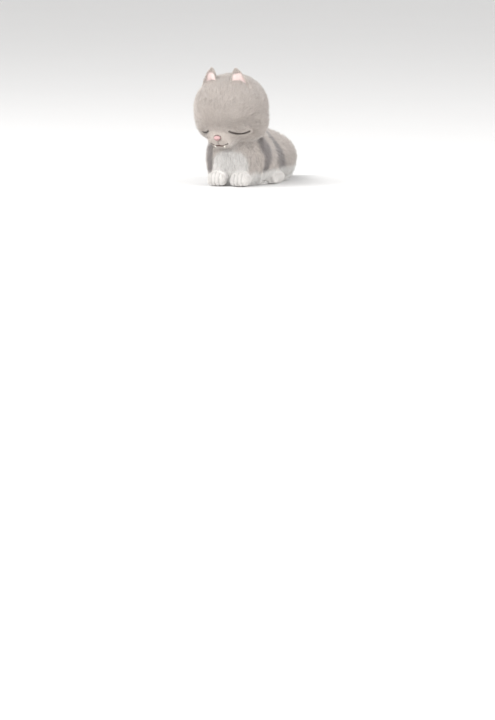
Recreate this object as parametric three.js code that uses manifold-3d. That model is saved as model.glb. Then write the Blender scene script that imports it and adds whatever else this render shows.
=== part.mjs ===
// A kitten of five to six weeks, dozing in a crouch. Its head is bowed and turned a little to its right, and
// its tail is laid round behind it to the right.
// Millimetres, +Z up. It faces -Y, its left side is +X, and it rests on small flats at z = 0.
// Every outline runs out to the tips of the coat.
import * as THREE from "three";
import { mergeVertices } from "three/addons/utils/BufferGeometryUtils.js";
import Module from "manifold-3d";

const wasm = await Module();
wasm.setup();

const gap = 0.35; // clearance kept between neighbouring solids
const sides = { left: 1, right: -1 };

// Torso: overlapping masses that melt into each other
const torsoLine = { from: -22, to: 34, height: 27 }; // the line that the torso's surface is measured from
const torsoSoftness = 11;
const chest = { at: [0, -22, 31], radii: [29, 31, 34] };
const ribs = { at: [0, 5, 27.5], radii: [36, 39, 28] };
const rump = { at: [0, 33, 26], radii: [36, 31, 27.5] };
const shoulder = { at: [19, -20, 25], radii: [12.5, 20, 21] };
const haunch = { at: [25.5, 31, 20], radii: [14, 26, 22] };
const forearm = { from: [23, -4, 9], to: [12, -42, 9], radiusFrom: 10, radiusTo: 9 };
const nape = { from: [0, -13, 37], to: [0, -31, 68], radiusFrom: 27.5, radiusTo: 22 };

// Cutters that part the legs and the neck from the torso
const foreCutter = { at: [31, -23, 20], radii: [16, 23, 27] };
const hindCutter = { at: [37, 31, 17], radii: [18, 30, 33] };
const neckCut = { at: [0, -16, 49], tilt: 35 }; // degrees that the cut leans forward

// Paws
const forepaw = { at: [12, -46, 8], radii: [10.5, 13, 8.6], toeRadius: 4.4, toeReach: 9.5, toeSpread: 4.3 };
const hindpaw = { at: [29.5, 3, 6.5], radii: [8.5, 20, 7.6], toeRadius: 4, toeReach: 16.5, toeSpread: 3.7 };
// The middle toes reach furthest
const toes = { count: 4, narrowness: 0.7, stagger: 0.3, floorGap: 0.4, softness: 1.6 };

// Head, in a frame of its own: the face looks along -Y and the crown is up
const headPlace = { at: [0, -43, 76.5], bow: 32, turn: 5 }; // degrees
const headSoftness = 7;
const muzzleSoftness = 2.6;
const skull = { at: [0, 1, 2], radii: [38.5, 36.5, 34] };
const cheek = { at: [18, -5, -12], radii: [20.5, 19.5, 19] };
const brow = { at: [0, -18, 10], radii: [24, 18, 17] };
const muzzle = { at: [0, -28.5, -10.8], radii: [17, 12.5, 12] };
const bridge = { from: [0, -26, 2], to: [0, -36.5, -6.2], radiusFrom: 9, radiusTo: 6 };
const whiskerPad = { at: [6.8, -34.6, -11.9], radii: [8.8, 7.8, 6.9] };
const chin = { at: [0, -29.5, -19.2], radii: [9.5, 8.8, 6.8] };
const jawBox = { front: -60, back: -21, top: -15.6, bottom: -40, halfWidth: 13 };
const mouthOpening = 0.9;
const nose = { at: [0, -42, -5.1], radii: [3.9, 3, 3] };
const eye = { at: [18.8, -24.9, -2.2], radii: [9.4, 7.4, 6.2] };
const canine = { at: [5.1, -40, -12.9], length: 5.4, radius: 1.05, tip: 0.4, lean: 4 };

// Ears: a cupped blade that narrows to a soft point
const ear = {
  at: [18, -4, 18.5], tip: [12.8, 7.5, 46.8], opensTo: [0.36, -0.9, 0.1],
  halfWidth: 13, narrowing: 0.96, narrowingPower: 0.78, flare: 0.35, // its outline from base to tip
  cup: 0.5, thickBase: 4.2, thickTip: 2.2, rimThinning: 0.35, rows: 6, columns: 6,
};

// Tail: leaves the rump to the left, drops to the floor and curls round behind to the right
const tail = {
  route: [
    [0, 46, 31], [9, 60, 33], [15.5, 70.5, 31], [18.5, 77, 21], [12.5, 80.5, 10.2], [-6, 80, 8],
    [-26, 71.5, 7.4], [-40, 58, 7], [-46, 44, 6.7],
  ],
  radiusRoot: 10.4, radiusEnd: 7.2, roundEnd: 0.07, sides: 10,
  lengths: { tail_base: [0, 0.49, 11], tail_middle: [0.49, 0.76, 6], tail_tip: [0.76, 1, 8] },
};

const coatGrey = new THREE.MeshStandardMaterial({ color: 0xbeb4ac, roughness: 0.95, metalness: 0 });
const coatWhite = new THREE.MeshStandardMaterial({ color: 0xe6e2dc, roughness: 0.95, metalness: 0 });
const noseLeather = new THREE.MeshStandardMaterial({ color: 0xdca5aa, roughness: 0.5, metalness: 0 });
const lidSkin = new THREE.MeshStandardMaterial({ color: 0x8d8580, roughness: 0.8, metalness: 0 });
const enamel = new THREE.MeshStandardMaterial({ color: 0xf2ecdd, roughness: 0.25, metalness: 0 });

const point = (list, side = 1) => new THREE.Vector3(side * list[0], list[1], list[2]);
const onSide = (mass, side) => ({ ...mass, at: [side * mass.at[0], mass.at[1], mass.at[2]] });

// Distance fields: below zero inside a mass, above it outside

function massField({ at, radii }) {
  const [rx, ry, rz] = radii;
  return (p) => {
    const x = (p.x - at[0]) / rx;
    const y = (p.y - at[1]) / ry;
    const z = (p.z - at[2]) / rz;
    const scaled = Math.hypot(x, y, z);
    const slope = Math.hypot(x / rx, y / ry, z / rz);
    return slope === 0 ? -Math.min(rx, ry, rz) : (scaled * (scaled - 1)) / slope;
  };
}

function rodField({ from, to, radiusFrom, radiusTo }, side = 1) {
  const start = point(from, side);
  const along = point(to, side).sub(start);
  const offset = new THREE.Vector3();
  return (p) => {
    offset.subVectors(p, start);
    const t = THREE.MathUtils.clamp(offset.dot(along) / along.lengthSq(), 0, 1);
    const distance = offset.addScaledVector(along, -t).length();
    return distance - THREE.MathUtils.lerp(radiusFrom, radiusTo, t);
  };
}

function blended(fields, softness) {
  return (p) =>
    fields.map((field) => field(p)).reduce((a, b) => {
      const near = Math.max(softness - Math.abs(a - b), 0) / softness;
      return Math.min(a, b) - (near * near * softness) / 4;
    });
}

// How far from an inner point, along a direction, the field passes the wanted level
function reachAlong(field, origin, direction, level) {
  const spot = new THREE.Vector3();
  const valueAt = (distance) => field(spot.copy(origin).addScaledVector(direction, distance));
  const step = 1.5;
  let inside = 0;
  while (valueAt(inside + step) < level) inside += step;
  let outside = inside + step;
  for (let halving = 0; halving < 18; halving += 1) {
    const middle = (inside + outside) / 2;
    if (valueAt(middle) < level) inside = middle;
    else outside = middle;
  }
  return inside;
}

// A closed skin over a field, as an icosphere's corners sent out from a point or a line
function skinOver(field, originFor, detail, level = 0) {
  const geometry = new THREE.IcosahedronGeometry(1, detail);
  const corners = geometry.attributes.position;
  const direction = new THREE.Vector3();
  for (let i = 0; i < corners.count; i += 1) {
    direction.fromBufferAttribute(corners, i).normalize();
    const origin = originFor(direction);
    const reach = reachAlong(field, origin, direction, level);
    const spot = origin.clone().addScaledVector(direction, reach);
    corners.setXYZ(i, spot.x, spot.y, spot.z);
  }
  return geometry;
}

function skinOverMass(mass, detail, level = 0) {
  return skinOver(massField(mass), () => point(mass.at), detail, level);
}

// Solids

function merged(geometry) {
  geometry.deleteAttribute("normal");
  geometry.deleteAttribute("uv");
  return mergeVertices(geometry, 1e-4);
}

function solid(geometry) {
  const whole = merged(geometry);
  return new wasm.Manifold(
    new wasm.Mesh({
      numProp: 3,
      vertProperties: new Float32Array(whole.attributes.position.array),
      triVerts: new Uint32Array(whole.index.array),
    }),
  );
}

function largestBody(manifold) {
  return manifold.decompose().reduce((a, b) => (a.volume() > b.volume() ? a : b));
}

function part(name, manifold, material) {
  const { numProp, vertProperties, triVerts } = largestBody(manifold).getMesh();
  const positions = new Float32Array((vertProperties.length / numProp) * 3);
  for (let i = 0; i < positions.length / 3; i += 1) {
    positions.set(vertProperties.subarray(i * numProp, i * numProp + 3), i * 3);
  }
  const geometry = new THREE.BufferGeometry();
  geometry.setAttribute("position", new THREE.BufferAttribute(positions, 3));
  geometry.setIndex(new THREE.BufferAttribute(new Uint32Array(triVerts), 1));
  geometry.computeVertexNormals();
  const mesh = new THREE.Mesh(geometry, material);
  mesh.name = name;
  return mesh;
}

function box(size, centre, turn = new THREE.Matrix4()) {
  const geometry = new THREE.BoxGeometry(...size);
  geometry.translate(...centre);
  return geometry.applyMatrix4(turn);
}

const bigSize = 400;
const underFloor = solid(box([bigSize, bigSize, bigSize], [0, 0, -bigSize / 2]));
const onFloor = (manifold) => manifold.subtract(underFloor);

// Torso, neck and upper legs

function torsoField() {
  const masses = [massField(chest), massField(ribs), massField(rump), rodField(nape)];
  for (const side of Object.values(sides)) {
    masses.push(massField(onSide(shoulder, side)), massField(onSide(haunch, side)), rodField(forearm, side));
  }
  return blended(masses, torsoSoftness);
}

function torsoOrigin(direction) {
  const { from, to, height } = torsoLine;
  return new THREE.Vector3(0, THREE.MathUtils.lerp(from, to, (direction.y + 1) / 2), height);
}

// All that lies above (or, turned over, below) the plane where the neck meets the trunk
function neckBlock(above) {
  const turn = new THREE.Matrix4().makeRotationX(THREE.MathUtils.degToRad(neckCut.tilt));
  turn.setPosition(point(neckCut.at));
  const middle = (above ? 1 : -1) * (bigSize / 2 + gap / 2);
  return solid(box([bigSize, bigSize, bigSize], [0, 0, middle], turn));
}

// Paws

function pawField(paw, side) {
  const masses = [massField(onSide(paw, side))];
  for (let toe = 0; toe < toes.count; toe += 1) {
    const across = (toe - (toes.count - 1) / 2) * paw.toeSpread;
    const back = Math.abs(across) * toes.stagger;
    const at = [side * paw.at[0] + across, paw.at[1] - paw.toeReach + back, paw.toeRadius + toes.floorGap];
    masses.push(massField({ at, radii: [paw.toeRadius * toes.narrowness, paw.toeRadius, paw.toeRadius] }));
  }
  return blended(masses, toes.softness);
}

function pawSolid(paw, side, level = 0) {
  const centre = point(paw.at, side);
  return onFloor(solid(skinOver(pawField(paw, side), () => centre, 3, level)));
}

// Head

const headPose = new THREE.Matrix4()
  .makeRotationZ(THREE.MathUtils.degToRad(-headPlace.turn))
  .multiply(new THREE.Matrix4().makeRotationX(THREE.MathUtils.degToRad(headPlace.bow)))
  .setPosition(point(headPlace.at));

const headSolid = (geometry) => solid(geometry.applyMatrix4(headPose));

function headField() {
  const masses = [massField(skull), massField(brow), massField(muzzle), rodField(bridge)];
  for (const side of Object.values(sides)) masses.push(massField(onSide(cheek, side)));
  const face = blended(masses, headSoftness);
  const pads = Object.values(sides).map((side) => massField(onSide(whiskerPad, side)));
  return blended([blended([face, ...pads], muzzleSoftness), massField(chin)], muzzleSoftness);
}

function jawBlock(level = 0) {
  const { front, back, top, bottom, halfWidth } = jawBox;
  const size = [2 * (halfWidth + level), back - front + level, top - bottom + level];
  return headSolid(box(size, [0, (front + back + level) / 2, (bottom + top + level) / 2]));
}

function canineGeometry(side, level = 0) {
  const { at, length, radius, tip, lean } = canine;
  const geometry = new THREE.CylinderGeometry(radius + level, tip + level, length + 2 * level, 8);
  geometry.rotateX(Math.PI / 2); // its wide end upwards
  geometry.translate(0, 0, -length / 2);
  geometry.rotateX(THREE.MathUtils.degToRad(-lean));
  geometry.translate(side * at[0], at[1], at[2]);
  return geometry;
}

function earGeometry(side, level = 0) {
  const base = point(ear.at, side);
  const along = point(ear.tip, side).sub(base);
  const length = along.length() + level;
  along.normalize();
  const opens = point(ear.opensTo, side);
  opens.addScaledVector(along, -opens.dot(along)).normalize();
  const across = new THREE.Vector3().crossVectors(opens, along);
  const spot = (row, column, face) => {
    const u = row / ear.rows;
    const v = (2 * column) / ear.columns - 1;
    const half = ear.halfWidth * (1 - ear.narrowing * u) ** ear.narrowingPower * (1 + ear.flare * u) + level;
    const thick = THREE.MathUtils.lerp(ear.thickBase, ear.thickTip, u) / 2 + level;
    const edge = 1 - ear.rimThinning * v * v;
    return base
      .clone()
      .addScaledVector(along, u * length - level)
      .addScaledVector(across, half * v)
      .addScaledVector(opens, -ear.cup * half * (1 - v * v) + face * thick * edge);
  };
  return closedSheet(ear.rows, ear.columns, spot);
}

// Two faces of a rows by columns sheet and the rim that joins them; face is 1 in front and -1 behind
function closedSheet(rows, columns, spot) {
  const corners = [];
  const quad = (a, b, c, d) => corners.push(a, b, c, a, c, d);
  for (const face of [1, -1]) {
    for (let i = 0; i < rows; i += 1) {
      for (let j = 0; j < columns; j += 1) {
        const ring = [spot(i, j, face), spot(i, j + 1, face), spot(i + 1, j + 1, face), spot(i + 1, j, face)];
        quad(...(face > 0 ? ring : ring.reverse()));
      }
    }
  }
  const rim = [];
  for (let j = 0; j < columns; j += 1) rim.push([0, j]);
  for (let i = 0; i < rows; i += 1) rim.push([i, columns]);
  for (let j = columns; j > 0; j -= 1) rim.push([rows, j]);
  for (let i = rows; i > 0; i -= 1) rim.push([i, 0]);
  rim.forEach(([i, j], k) => {
    const [nextI, nextJ] = rim[(k + 1) % rim.length];
    quad(spot(i, j, 1), spot(i, j, -1), spot(nextI, nextJ, -1), spot(nextI, nextJ, 1));
  });
  return new THREE.BufferGeometry().setFromPoints(corners);
}

// A sheet of loose triangles made on the mirrored side comes inside out, and is turned back
function outwardSolid(geometry) {
  const made = solid(geometry);
  if (made.volume() > 0) return made;
  const corners = geometry.attributes.position;
  for (let i = 0; i < corners.count; i += 3) {
    const a = new THREE.Vector3().fromBufferAttribute(corners, i);
    const b = new THREE.Vector3().fromBufferAttribute(corners, i + 1);
    corners.setXYZ(i, b.x, b.y, b.z);
    corners.setXYZ(i + 1, a.x, a.y, a.z);
  }
  return solid(geometry);
}

// Tail

const tailCurve = new THREE.CatmullRomCurve3(tail.route.map((at) => point(at)), false, "centripetal");

function tailRadius(t) {
  const radius = THREE.MathUtils.lerp(tail.radiusRoot, tail.radiusEnd, t);
  const past = Math.max(0, (t - 1 + tail.roundEnd) / tail.roundEnd);
  return radius * Math.sqrt(Math.max(0.04, 1 - past * past));
}

function tailLength([from, to, steps], level = 0) {
  const half = (gap / 2 - level) / tailCurve.getLength();
  const start = from + half;
  const end = to === 1 ? 1 : to - half;
  const rings = [];
  for (let i = 0; i <= steps; i += 1) {
    const t = THREE.MathUtils.clamp(THREE.MathUtils.lerp(start, end, i / steps), 0, 1);
    const centre = tailCurve.getPointAt(t);
    const along = tailCurve.getTangentAt(t);
    const sideways = new THREE.Vector3(-along.y, along.x, 0).normalize();
    const upward = new THREE.Vector3().crossVectors(along, sideways);
    const radius = tailRadius(t) + level;
    rings.push(
      Array.from({ length: tail.sides }, (_, k) => {
        const angle = (2 * Math.PI * k) / tail.sides;
        return centre
          .clone()
          .addScaledVector(sideways, radius * Math.cos(angle))
          .addScaledVector(upward, radius * Math.sin(angle));
      }),
    );
  }
  const corners = [];
  const sumOf = (ring) => ring.reduce((sum, p) => sum.add(p), new THREE.Vector3());
  const middleOf = (ring) => sumOf(ring).divideScalar(ring.length);
  const first = rings[0];
  const last = rings[steps];
  for (let k = 0; k < tail.sides; k += 1) {
    const next = (k + 1) % tail.sides;
    for (let i = 0; i < steps; i += 1) {
      const [near, far] = [rings[i], rings[i + 1]];
      corners.push(near[k], near[next], far[next], near[k], far[next], far[k]);
    }
    corners.push(middleOf(first), first[next], first[k], middleOf(last), last[k], last[next]);
  }
  return new THREE.BufferGeometry().setFromPoints(corners);
}

// The whole animal

const kitten = new THREE.Group();
kitten.name = "kitten";
const add = (name, manifold, material) => kitten.add(part(name, manifold, material));

let head = headSolid(skinOver(headField(), () => new THREE.Vector3(), 6));
const headRoom = headSolid(skinOver(headField(), () => new THREE.Vector3(), 6, gap));
let jaw = head.intersect(jawBlock());
head = head.subtract(jawBlock(mouthOpening));

for (const [sideName, side] of Object.entries(sides)) {
  const lids = (level) => headSolid(skinOverMass(onSide(eye, side), 2, level));
  const blade = (level) => outwardSolid(earGeometry(side, level).applyMatrix4(headPose));
  const tooth = (level) => headSolid(canineGeometry(side, level));
  add(`eye_${sideName}`, lids(0), lidSkin);
  add(`ear_${sideName}`, blade(0), coatGrey);
  add(`canine_${sideName}`, tooth(0), enamel);
  head = head.subtract(lids(gap)).subtract(blade(gap)).subtract(tooth(gap));
  jaw = jaw.subtract(tooth(gap));
}
add("nose", headSolid(skinOverMass(nose, 2)), noseLeather);
head = head.subtract(headSolid(skinOverMass(nose, 2, gap)));
add("head", head, coatGrey);
add("jaw", jaw, coatGrey);

const torso = onFloor(solid(skinOver(torsoField(), torsoOrigin, 6))).subtract(headRoom);
add("neck", torso.intersect(neckBlock(true)), coatGrey);
let trunk = torso.intersect(neckBlock(false));

for (const [sideName, side] of Object.entries(sides)) {
  const forepawRoom = pawSolid(forepaw, side, gap);
  const hindpawRoom = pawSolid(hindpaw, side, gap);
  const foreBlock = (level) => solid(skinOverMass(onSide(foreCutter, side), 2, level));
  const hindBlock = (level) => solid(skinOverMass(onSide(hindCutter, side), 2, level));
  const withoutPaws = (manifold) => manifold.subtract(forepawRoom).subtract(hindpawRoom);
  add(`foreleg_${sideName}`, withoutPaws(trunk.intersect(foreBlock(0))), coatGrey);
  add(`hindleg_${sideName}`, withoutPaws(trunk.intersect(hindBlock(0))), coatGrey);
  add(`forepaw_${sideName}`, pawSolid(forepaw, side), coatWhite);
  add(`hindpaw_${sideName}`, pawSolid(hindpaw, side), coatWhite);
  trunk = withoutPaws(trunk.subtract(foreBlock(gap)).subtract(hindBlock(gap)));
}

for (const [name, stretch] of Object.entries(tail.lengths)) {
  add(name, onFloor(outwardSolid(tailLength(stretch))), coatGrey);
  trunk = trunk.subtract(outwardSolid(tailLength(stretch, gap)));
}
add("trunk", trunk, coatGrey);

export default kitten;
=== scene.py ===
import math

import bpy
import bmesh
import numpy as np
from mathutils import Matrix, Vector
from mathutils.bvhtree import BVHTree


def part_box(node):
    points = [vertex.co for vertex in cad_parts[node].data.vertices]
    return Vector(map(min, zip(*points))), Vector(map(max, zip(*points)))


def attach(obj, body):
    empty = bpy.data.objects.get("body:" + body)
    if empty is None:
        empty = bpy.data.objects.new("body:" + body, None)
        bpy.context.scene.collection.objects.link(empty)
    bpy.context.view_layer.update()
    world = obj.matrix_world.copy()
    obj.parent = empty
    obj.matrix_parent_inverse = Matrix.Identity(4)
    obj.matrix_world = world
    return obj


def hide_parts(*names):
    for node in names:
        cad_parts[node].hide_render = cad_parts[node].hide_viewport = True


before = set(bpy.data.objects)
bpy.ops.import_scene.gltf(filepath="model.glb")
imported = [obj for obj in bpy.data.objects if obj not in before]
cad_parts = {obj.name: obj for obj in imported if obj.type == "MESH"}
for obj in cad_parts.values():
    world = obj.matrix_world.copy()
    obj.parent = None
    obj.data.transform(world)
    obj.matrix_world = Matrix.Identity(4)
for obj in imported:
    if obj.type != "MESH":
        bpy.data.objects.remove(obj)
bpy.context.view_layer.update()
mm = 0.001
sides = {"left": 1, "right": -1}


def say(stage, *facts):
    print("kitten:", stage, *facts)


def unit(vectors):
    lengths = np.linalg.norm(vectors, axis=-1, keepdims=True)
    return vectors / np.maximum(lengths, 1e-12)


def ramp(values, low, high):
    # 0 up to low and 1 from high on, with a soft rise between
    t = np.clip((values - low) / (high - low), 0, 1)
    return t * t * (3 - 2 * t)


def rampIn(values, span):
    # the same for values in metres and a span in mm
    return ramp(values, span[0] * mm, span[1] * mm)


def middleOf(node):
    low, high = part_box(node)
    return np.array((low + high) / 2)


# The face has axes of its own, from the two eyes and the bow of the head
face = {
    "bow": 32,  # degrees that it looks down
    "eyeDepth": 24.9 * mm,  # the eyes stand this far in front of the head's middle
    "eyeDrop": 2.2 * mm,  # and this far below it
}
faceAcross = unit(middleOf("eye_left") - middleOf("eye_right"))
faceLevel = np.cross(faceAcross, (0, 0, 1))
bow = math.radians(face["bow"])
faceForward = faceLevel * math.cos(bow) - np.array((0, 0, math.sin(bow)))
faceUp = faceLevel * math.sin(bow) + np.array((0, 0, math.cos(bow)))
eyesMiddle = (middleOf("eye_left") + middleOf("eye_right")) / 2
headMiddle = eyesMiddle - faceForward * face["eyeDepth"] + faceUp * face["eyeDrop"]
noseMiddle = middleOf("nose")


def faceCoordinates(points):
    offset = points - headMiddle
    return offset @ faceAcross, offset @ faceForward, offset @ faceUp


def facePlace(across, ahead, above):
    # a place that is so many mm from the head's middle
    return headMiddle + across * mm * faceAcross + ahead * mm * faceForward + above * mm * faceUp


class Wire:
    # a socket that can be written in sums
    def __init__(self, net, socket):
        self.net = net
        self.socket = socket

    def __add__(self, other):
        return self.net.sum("ADD", self, other)

    def __sub__(self, other):
        return self.net.sum("SUBTRACT", self, other)

    def __rsub__(self, other):
        return self.net.sum("SUBTRACT", other, self)

    def __mul__(self, other):
        return self.net.sum("MULTIPLY", self, other)

    def __rtruediv__(self, other):
        return self.net.sum("DIVIDE", other, self)

    def __pow__(self, other):
        return self.net.sum("POWER", self, other)

    __radd__ = __add__
    __rmul__ = __mul__

    def also(self, name):
        # another output of the same node
        return Wire(self.net, self.socket.node.outputs[name])


class Net:
    def __init__(self, tree):
        self.tree = tree

    def node(self, kind, settings=None, sockets=None, out=0):
        made = self.tree.nodes.new(kind)
        for name, value in (settings or {}).items():
            setattr(made, name, value)
        for name, value in (sockets or {}).items():
            if isinstance(value, Wire):
                self.tree.links.new(value.socket, made.inputs[name])
            else:
                made.inputs[name].default_value = value
        return Wire(self, made.outputs[out]) if len(made.outputs) else made

    def sum(self, operation, a, b):
        return self.node("ShaderNodeMath", {"operation": operation}, {0: a, 1: b})

    def vector(self, operation, a, b):
        return self.node("ShaderNodeVectorMath", {"operation": operation}, {0: a, 1: b})

    def scaled(self, vector, factor):
        return self.node("ShaderNodeVectorMath", {"operation": "SCALE"}, {0: vector, "Scale": factor})

    def blend(self, factor, a, b):
        return self.node("ShaderNodeMix", {"data_type": "RGBA"}, {0: factor, 6: a, 7: b}, out=2)


def colour(red, green, blue):
    return (red, green, blue, 1.0)


def objectFrom(name, mesh):
    made = bpy.data.objects.new(name, mesh)
    bpy.context.scene.collection.objects.link(made)
    return made


def meshFrom(name, points, faces, edges=()):
    mesh = bpy.data.meshes.new(name)
    mesh.from_pydata([tuple(p) for p in points], edges, faces)
    return mesh


def arrayOf(collection, key, width, kind=np.float64):
    flat = np.zeros(len(collection) * width, kind)
    collection.foreach_get(key, flat)
    return flat.reshape(-1, width)


def putValues(mesh, name, values):
    values = np.asarray(values, np.float32)
    kind, key = ("FLOAT_VECTOR", "vector") if values.ndim == 2 else ("FLOAT", "value")
    layer = mesh.attributes.new(name, kind, "POINT")
    layer.data.foreach_set(key, values.ravel())


def shadeSmooth(mesh):
    mesh.polygons.foreach_set("use_smooth", np.ones(len(mesh.polygons), bool))


def finishPiece(name, mesh, slot, *replaced):
    piece = objectFrom(name, mesh)
    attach(piece, "root")
    if replaced:
        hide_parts(*replaced)


# The flesh is one skin, which lies inside the coat
fleshNodes = [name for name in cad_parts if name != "nose" and not name.startswith("canine")]

skinMake = {
    "voxel": 0.9 * mm,
    "closeGaps": 0.35 * mm,  # how far each solid swells, so that neighbours meet
    "smoothBody": 30,  # rounds of smoothing where the body is broad
    "smoothFine": 5,  # rounds on ears, paws and muzzle
    "fineBlend": 8,  # rounds that blend those places into the rest
    "muzzleBack": 24 * mm, "muzzleTop": 4 * mm,  # where the muzzle ends, from the head's middle
    "zoneBlend": 14,  # rounds that blend the coat of one zone into the next
    "lieBlend": 30,
    "floorGap": 0.2 * mm,
    "flatTop": 2 * mm, "flatFacing": -0.75,  # the flats that touch the floor
    "depthShare": 1.3,  # the skin's depth as a share of a tuft's mean rise
    "leastRise": 0.05,
    "earDepth": 0.35 * mm,
    "bendBlend": 8, "depthBlend": 6,
}


def mergedCopy(node, swell):
    shape = bmesh.new()
    shape.from_mesh(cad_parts[node].data)
    bmesh.ops.remove_doubles(shape, verts=shape.verts, dist=1e-6)
    shape.normal_update()
    for vertex in shape.verts:
        vertex.co += vertex.normal * swell
    return shape


def joinedFlesh():
    points, faces, owners = [], [], []
    for index, node in enumerate(fleshNodes):
        shape = mergedCopy(node, skinMake["closeGaps"])
        start = len(points)
        points += [vertex.co.copy() for vertex in shape.verts]
        faces += [[start + vertex.index for vertex in face.verts] for face in shape.faces]
        owners += [index] * len(shape.faces)
        shape.free()
    return points, faces, owners


def evaluated(piece):
    # the piece with its modifiers carried out, as a plain mesh
    graph = bpy.context.evaluated_depsgraph_get()
    return bpy.data.meshes.new_from_object(piece.evaluated_get(graph))


def remeshed(points, faces, voxel):
    rough = objectFrom("flesh", meshFrom("flesh", points, faces))
    change = rough.modifiers.new("remesh", "REMESH")
    change.mode = "VOXEL"
    change.voxel_size = voxel
    result = evaluated(rough)
    bpy.data.objects.remove(rough)
    return result


class Surface:
    # the skin's corners and how they are joined, for work on all of them at once
    def __init__(self, mesh):
        self.mesh = mesh
        self.points = arrayOf(mesh.vertices, "co", 3)
        ends = arrayOf(mesh.edges, "vertices", 2, np.int32)
        self.a = np.concatenate((ends[:, 0], ends[:, 1]))
        self.b = np.concatenate((ends[:, 1], ends[:, 0]))
        self.joins = np.maximum(np.bincount(self.a, minlength=len(self.points)), 1)

    def neighbourMean(self, values):
        columns = values.reshape(len(values), -1)
        sums = [np.bincount(self.a, column[self.b], len(values)) for column in columns.T]
        return (np.stack(sums, 1) / self.joins[:, None]).reshape(values.shape)

    def relaxed(self, values, rounds, amount=0.5):
        for _ in range(rounds):
            values = values + amount * (self.neighbourMean(values) - values)
        return values

    def smooth(self, fine, make):
        # in and out by turns, so that it doesn't shrink; the fine places only have the first rounds
        for turn in range(make["smoothBody"]):
            share = np.where(turn < make["smoothFine"], 1, 1 - fine)[:, None]
            for step in (0.5, -0.51):
                move = self.neighbourMean(self.points) - self.points
                self.points = self.points + step * share * move

    def write(self):
        self.mesh.vertices.foreach_set("co", self.points.ravel())
        self.mesh.update()

    def normals(self):
        self.write()
        return arrayOf(self.mesh.vertex_normals, "vector", 3)


fleshPoints, fleshFaces, fleshOwners = joinedFlesh()
skinMesh = remeshed(fleshPoints, fleshFaces, skinMake["voxel"])
skin = Surface(skinMesh)
fleshTree = BVHTree.FromPolygons(fleshPoints, fleshFaces)
ownerOf = np.array([fleshOwners[fleshTree.find_nearest(Vector(p))[2]] for p in skin.points])


def ownedBy(*beginnings):
    wanted = [i for i, name in enumerate(fleshNodes) if name.startswith(beginnings)]
    return np.isin(ownerOf, wanted)


isHead = ownedBy("head", "jaw", "eye")
isEar = ownedBy("ear")
isPaw = ownedBy("forepaw", "hindpaw")
isTail = ownedBy("tail")
isTorso = ~(isHead | isEar | isPaw | isTail)
across, ahead, above = faceCoordinates(skin.points)
isMuzzle = isHead & (ahead > skinMake["muzzleBack"]) & (above < skinMake["muzzleTop"])
isFine = (isEar | isPaw | isMuzzle).astype(float)
skin.smooth(skin.relaxed(isFine, skinMake["fineBlend"]), skinMake)
across, ahead, above = faceCoordinates(skin.points)
coatNormals = unit(skin.relaxed(skin.normals(), rounds=3))
say("skin", len(skin.points), "corners", len(skinMesh.polygons), "faces")


# Coat by zone: the piece it belongs to, hair length in mm, lift off the skin in degrees
zones = {
    "muzzle": {"piece": "face", "length": 1.5, "lift": 19},
    "face": {"piece": "face", "length": 2.6, "lift": 20},
    "cheek": {"piece": "cheeks", "length": 5.2, "lift": 31},
    "crown": {"piece": "crown", "length": 4.4, "lift": 27},
    "earBack": {"piece": "ears", "length": 2.2, "lift": 17},
    "earInside": {"piece": "earInside", "length": 4.6, "lift": 34},
    "chest": {"piece": "chest", "length": 6.4, "lift": 27},
    "back": {"piece": "back", "length": 6.6, "lift": 28},
    "rump": {"piece": "rump", "length": 6.8, "lift": 29},
    "paw": {"piece": "paws", "length": 2.0, "lift": 19},
    "tail": {"piece": "tail", "length": 6.0, "lift": 32},
}
zoneNames = list(zones)

# Each piece of the coat: its tufts stand a spacing apart in mm, and are as thick and as bent as a share
# of their length
coats = {
    "face": {"spacing": 0.47, "thickness": 0.11, "bend": 0.08, "slot": "grey_coat"},
    "cheeks": {"spacing": 0.57, "thickness": 0.08, "bend": 0.12, "slot": "grey_coat"},
    "crown": {"spacing": 0.53, "thickness": 0.095, "bend": 0.10, "slot": "grey_coat"},
    "ears": {"spacing": 0.42, "thickness": 0.12, "bend": 0.06, "slot": "grey_coat"},
    "earInside": {"spacing": 0.75, "thickness": 0.035, "bend": 0.16, "slot": "white_coat"},
    "chest": {"spacing": 0.58, "thickness": 0.062, "bend": 0.13, "slot": "white_coat"},
    "back": {"spacing": 0.565, "thickness": 0.062, "bend": 0.13, "slot": "grey_coat"},
    "rump": {"spacing": 0.575, "thickness": 0.062, "bend": 0.13, "slot": "grey_coat"},
    "paws": {"spacing": 0.42, "thickness": 0.12, "bend": 0.09, "slot": "white_coat"},
    "tail": {"spacing": 0.54, "thickness": 0.068, "bend": 0.12, "slot": "grey_coat"},
}

# Ears, in mm across, ahead of and above the head's middle: the inside is bare but for a few long hairs
earMake = {
    "base": (18, 4, 18.5), "tip": (12.8, -7.5, 46.8), "opensTo": (0.36, 0.9, 0.1), "halfWidth": 13,
    "narrowing": 0.96, "roundness": 0.78, "flare": 0.35,  # how the half width runs
    "bareHalf": (0.62, 0.78),  # where the bare skin ends, as shares of the ear's half width
    "bareTop": (0.76, 0.88),  # and of its height
    "bareFacing": (0.1, 0.4),  # how squarely the bare skin faces the opening
    "tipTrim": 1.6,  # how far the skin's tip draws back, to leave room for the coat
}


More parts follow.
